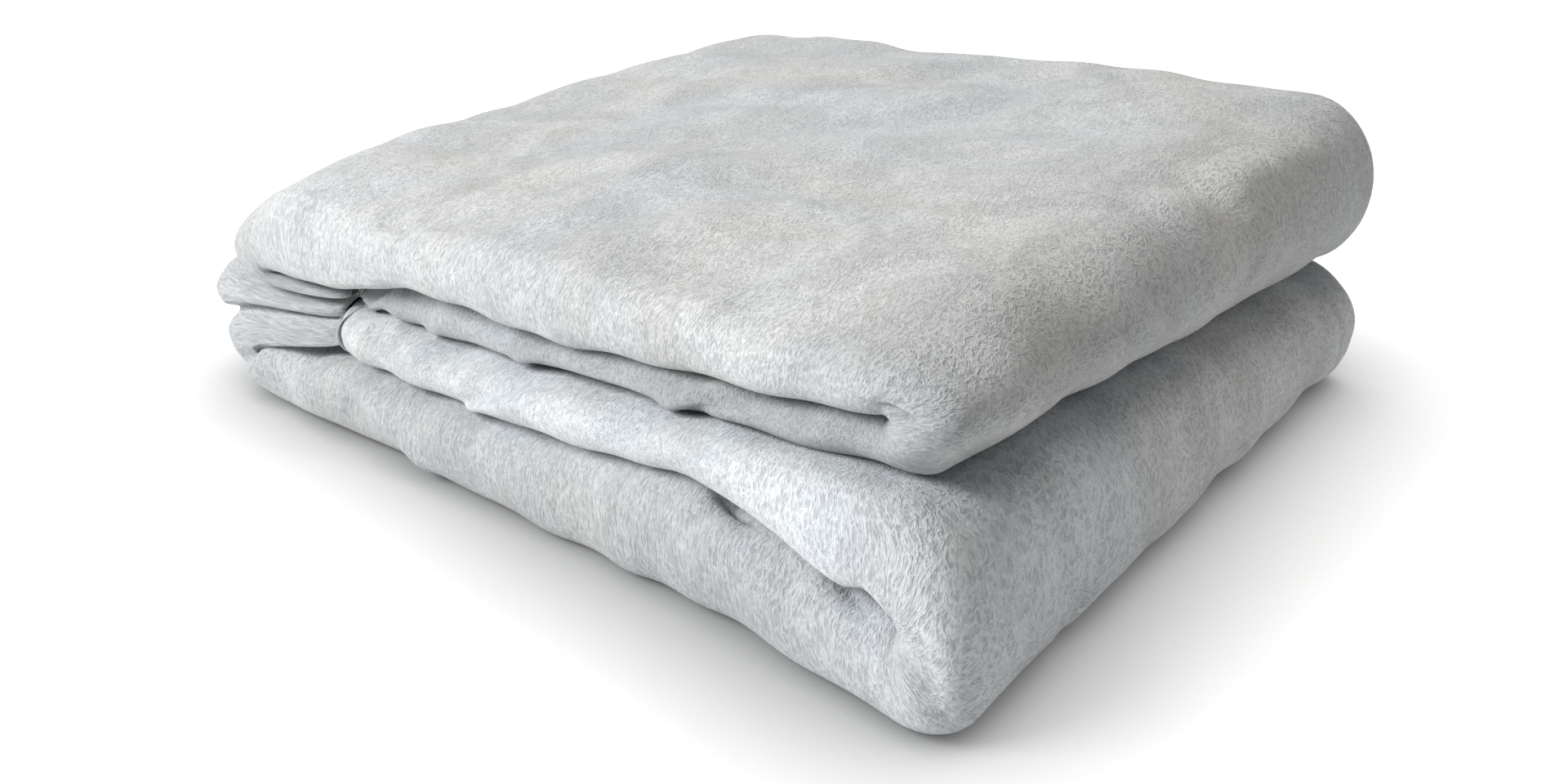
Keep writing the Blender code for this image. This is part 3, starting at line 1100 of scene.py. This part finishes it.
@dataclass
class Hem:
    """One hem: the binding folded over the throw's edge, and its stitches.

    The binding's outer bow is as deep as bow bindings.  A stitch is a spindle of rings, with
    ends thinner than its middle, that dip into the binding.
    """

    lie: Lie
    name: str
    on_side: bool
    at_far: bool
    coarser: float = 1.4
    bow: float = 2.2
    bow_points: int = 9
    stitch: float = 0.0034
    gap: float = 0.0012
    thread_radius: float = 0.00035
    thinnest: float = 0.03
    fullest: float = 1.04
    dip: float = 0.0005
    rings: int = 5
    sides: int = 6

    def _span(self) -> tuple:
        """Give the first and last station of the hem along its own edge."""
        throw = self.lie.fold.throw
        size = throw.length if self.on_side else throw.width
        stop = 0.0 if self.on_side else throw.hem_width + throw.clearance
        return stop, size - stop

    def _laid(self, along: Array, inward: Array, m: Array) -> Array:
        """Lay points given along the edge, inward from it and through the throw."""
        throw = self.lie.fold.throw
        size = throw.width if self.on_side else throw.length
        across = size - inward if self.at_far else inward
        pair = (along, across) if self.on_side else (across, along)
        return self.lie.laid(pair[0], pair[1], m)

    def binding(self) -> Object:
        """Carry the binding's section along the edge: a flattened loop open on the inside."""
        throw = self.lie.fold.throw
        outer = throw.binding_outer
        inner = outer - throw.binding
        line = self.lie.fold.along if self.on_side else self.lie.fold.across
        stations = line.stations(*self._span(), self.coarser)
        turn = np.linspace(-math.pi / 2, math.pi / 2, self.bow_points)
        bow = throw.binding * self.bow
        outside = np.stack([bow - bow * np.cos(turn), outer * np.sin(turn)], axis=1)
        inside = np.stack([bow - (bow - throw.binding) * np.cos(turn), inner * np.sin(turn)], axis=1)
        ends = np.array([[throw.hem_width, outer], [throw.hem_width, inner]])
        section = np.concatenate([outside, ends, inside[::-1], ends[::-1] * (1, -1)])
        rows, corners = len(stations), len(section)
        along = np.repeat(stations, corners)
        inward = np.tile(section[:, 0], rows)
        m = np.tile(section[:, 1], rows)
        points = self._laid(along, inward, m)
        quads = grid_quads(rows, corners, closed=True)
        if self.on_side == self.at_far:
            quads = quads[:, ::-1]
        uv = np.stack([along, inward + m], axis=1)
        return mesh_piece(self.name + "_tape", points, quads, uv)

    def stitches(self) -> Object:
        """Lay a row of stitches: short spindles with capped ends that dip in."""
        throw = self.lie.fold.throw
        low, high = self._span()
        pitch = self.stitch + self.gap
        count = int((high - low) / pitch)
        starts = low + pitch * (np.arange(count) + 0.5)
        t = np.linspace(-0.5, 0.5, self.rings)
        roundness = np.clip(self.fullest - (2 * t) ** 2, self.thinnest, 1.0)
        thick = self.thread_radius * np.sqrt(roundness)
        dip = -self.dip * (2 * t) ** 4
        turn = np.arange(self.sides) * 2 * math.pi / self.sides
        along = (starts[:, None, None] + t[None, :, None] * self.stitch) + 0 * turn
        inset = throw.hem_width - throw.thread_inset
        inward = inset + thick[None, :, None] * np.cos(turn) + 0 * along
        m = throw.binding_outer + dip[None, :, None] + thick[None, :, None] * np.sin(turn)
        m = m + 0 * along
        points = self._laid(along.ravel(), inward.ravel(), m.ravel())
        first = np.array([[0, 1, 2, 3], [0, 3, 4, 5]])  # two quads cap a ring of six points
        last = (self.rings - 1) * self.sides + first[:, ::-1]
        one = np.concatenate([grid_quads(self.rings, self.sides, closed=True), first, last])
        begins = self.rings * self.sides * np.arange(count)
        quads = (one[None] + begins[:, None, None]).reshape(-1, 4)
        if self.on_side != self.at_far:
            quads = quads[:, ::-1]
        uv = np.stack([along.ravel(), inward.ravel()], axis=1)
        return mesh_piece(self.name + "_stitches", points, quads, uv)


@dataclass
class CareLabel:
    """The blank satin label: a folded tab that hangs from the top band's hem."""

    lie: Lie
    columns: int = 13
    rows: int = 17
    bow: float = 0.0012
    hang: float = 1.6
    stand_off: float = 0.0005

    def tab(self) -> Object:
        """Build the tab as a closed slab with a slight bow, settled with the stack."""
        low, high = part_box("care_label")
        across, down = np.meshgrid(np.linspace(0, 1, self.columns), np.linspace(0, 1, self.rows))
        x = low.x + (high.x - low.x) * across
        z = high.z - (high.z - low.z) * down
        out = self.bow * (np.sin(math.pi * across) * down + self.hang * down**2)
        layers = []
        for thickness in (0.0, high.y - low.y):
            y = low.y + self.stand_off + thickness + out
            layers.append(np.stack([x, y, z], axis=-1).reshape(-1, 3))
        front = grid_quads(self.rows, self.columns)
        size = self.rows * self.columns
        index = np.arange(size).reshape(self.rows, self.columns)
        rim = np.concatenate([index[0, :-1], index[:-1, -1], index[-1, :0:-1], index[:0:-1, 0]])
        after = np.roll(rim, -1)
        sides = np.stack([rim, after, after + size, rim + size], axis=1)
        quads = np.concatenate([front, front[:, ::-1] + size, sides[:, ::-1]])
        points = self.lie.settled(np.concatenate(layers))
        uv = np.tile(np.stack([x.ravel(), z.ravel()], axis=1), (2, 1))
        return mesh_piece("care_label_tab", points, quads, uv)


@dataclass
class Studio:
    """A pale glowing floor with a painted shadow, soft light and the camera, whose angles are in
    degrees.
    """

    azimuth: float = 40.97
    elevation: float = 25.97
    roll: float = -1.46
    place: tuple = (0.3931, -0.4512, 0.2828)
    lens: float = 32.0
    paper: tuple = (0.22, 0.22, 0.22, 1.0)
    paper_drop: float = 0.0002
    glow: float = 0.94
    shade_reach: float = 0.075
    shade_power: float = 1.5
    sky: tuple = (0.90, 0.95, 1.0, 1.0)
    sky_strength: float = 0.10

    def floor(self) -> None:
        """Lay a wide pale floor just under the stack, whose glow is painted light and fades close to
        the stack as a painted shadow.
        """
        bpy.ops.mesh.primitive_plane_add(size=8.0, location=(0.0, 0.0, -self.paper_drop))
        floor = bpy.context.object
        floor.name = "floor"
        material, nodes, shader = new_material("floor_paper", {
            "Base Color": self.paper, "Emission Strength": self.glow, "Roughness": 0.9,
            "Specular IOR Level": 0.0})
        # painted shadow: ambient occlusion dims the floor's painted glow close to the stack
        painted_contact_shadow = nodes.add("ShaderNodeAmbientOcclusion", {"Distance": self.shade_reach}, samples=16)
        glow = nodes.math("POWER", painted_contact_shadow.outputs["AO"], self.shade_power)
        nodes.tree.links.new(glow, shader.inputs["Emission Color"])
        floor.data.materials.append(material)

    def light(self) -> None:
        """Light the stack from the front left and from above, and fill it from all round."""
        world = bpy.data.worlds.new("studio")
        world.use_nodes = True
        background = world.node_tree.nodes["Background"]
        background.inputs["Color"].default_value = self.sky
        background.inputs["Strength"].default_value = self.sky_strength
        bpy.context.scene.world = world
        self._area("key", (-0.95, -1.6, 1.42), size=1.0, power=66.0, color=(0.975, 0.99, 1.0))
        self._area("top", (-0.2, 0.5, 2.0), size=1.6, power=22.0, color=(1.0, 0.94, 0.87))

    def _area(self, name: str, place: tuple, size: float, power: float, color: tuple) -> None:
        """Hang a square soft light that points at the stack."""
        data = bpy.data.lights.new(name, "AREA")
        data.size = size
        data.energy = power
        data.color = color
        lamp = bpy.data.objects.new(name, data)
        lamp.location = place
        lamp.rotation_euler = (-Vector(place)).to_track_quat("-Z", "Y").to_euler()
        bpy.context.scene.collection.objects.link(lamp)

    def camera(self) -> None:
        """Set the camera by its azimuth, elevation and roll."""
        turn, rise, lean = (math.radians(a) for a in (self.azimuth, self.elevation, self.roll))
        level = math.cos(rise)
        back = Vector((math.sin(turn) * level, -math.cos(turn) * level, math.sin(rise)))
        right = Vector((math.cos(turn), math.sin(turn), 0.0))
        up = back.cross(right)
        leaned_right = right * math.cos(lean) + up * math.sin(lean)
        leaned_up = up * math.cos(lean) - right * math.sin(lean)
        data = bpy.data.cameras.new("camera")
        data.lens = self.lens
        data.sensor_width = 36.0
        data.clip_start = 0.01
        camera = bpy.data.objects.new("camera", data)
        basis = Matrix((leaned_right, leaned_up, back)).transposed().to_4x4()
        camera.matrix_world = Matrix.Translation(self.place) @ basis
        bpy.context.scene.collection.objects.link(camera)
        bpy.context.scene.camera = camera
        bpy.context.scene.view_settings.view_transform = "Standard"


def dress(piece: Object, material: bpy.types.Material, node: str) -> None:
    """Give a piece its material, its body and the solid that it stands for.

    Args:
        piece: the piece.
        material: its material.
        node: the CAD node that it replaces.
    """
    piece.data.materials.append(material)
    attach(piece, "root")
    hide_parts(node)
    LOG.info("%s stands for %s with %d faces", piece.name, node, len(piece.data.polygons))


def main() -> None:
    """Build the studio and the throw, piece by piece."""
    logging.basicConfig(level=logging.INFO, format="%(name)s: %(message)s")
    studio = Studio()
    studio.floor()
    studio.light()
    studio.camera()

    low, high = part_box("face_cloth")
    lie = Lie(Fold(Throw(), low, high))
    cloths = Cloths(lie)
    face = cloths.face()
    back = cloths.back()
    outside = PlushFinish("plush_face")
    # painted shade: the back cloth is darkened evenly, as it shows only in shade at the tips
    inside = PlushFinish("plush_back", tuft=0.0011, band_shade=EVEN_BAND_SHADE)
    pile = Pile().group()
    dress(face, outside.material(pile), "face_cloth")
    dress(back, inside.material(pile), "back_cloth")

    fleece = PlainFinish("hem_fleece", (0.66, 0.67, 0.68), roughness=0.9, sheen=0.2, grain=0.0012)
    spun = PlainFinish("hem_thread", (0.64, 0.64, 0.63), roughness=0.6, sheen=0.3, grain=0.0004)
    satin = PlainFinish("label_satin", (0.80, 0.80, 0.79), roughness=0.4, sheen=0.0, grain=0.0006)
    tape, yarn = fleece.material(), spun.material()
    trims = []
    for side, on_side in (("side", True), ("end", False)):
        for order, at_far in (("first", False), ("second", True)):
            hem = Hem(lie, f"{order}_{side}_hem", on_side, at_far)
            binding, stitches = hem.binding(), hem.stitches()
            dress(binding, tape, hem.name + "_binding")
            dress(stitches, yarn, hem.name + "_thread")
            trims += [binding, stitches]
    label = CareLabel(lie).tab()
    dress(label, satin.material(), "care_label")


if __name__ == "__main__":
    main()
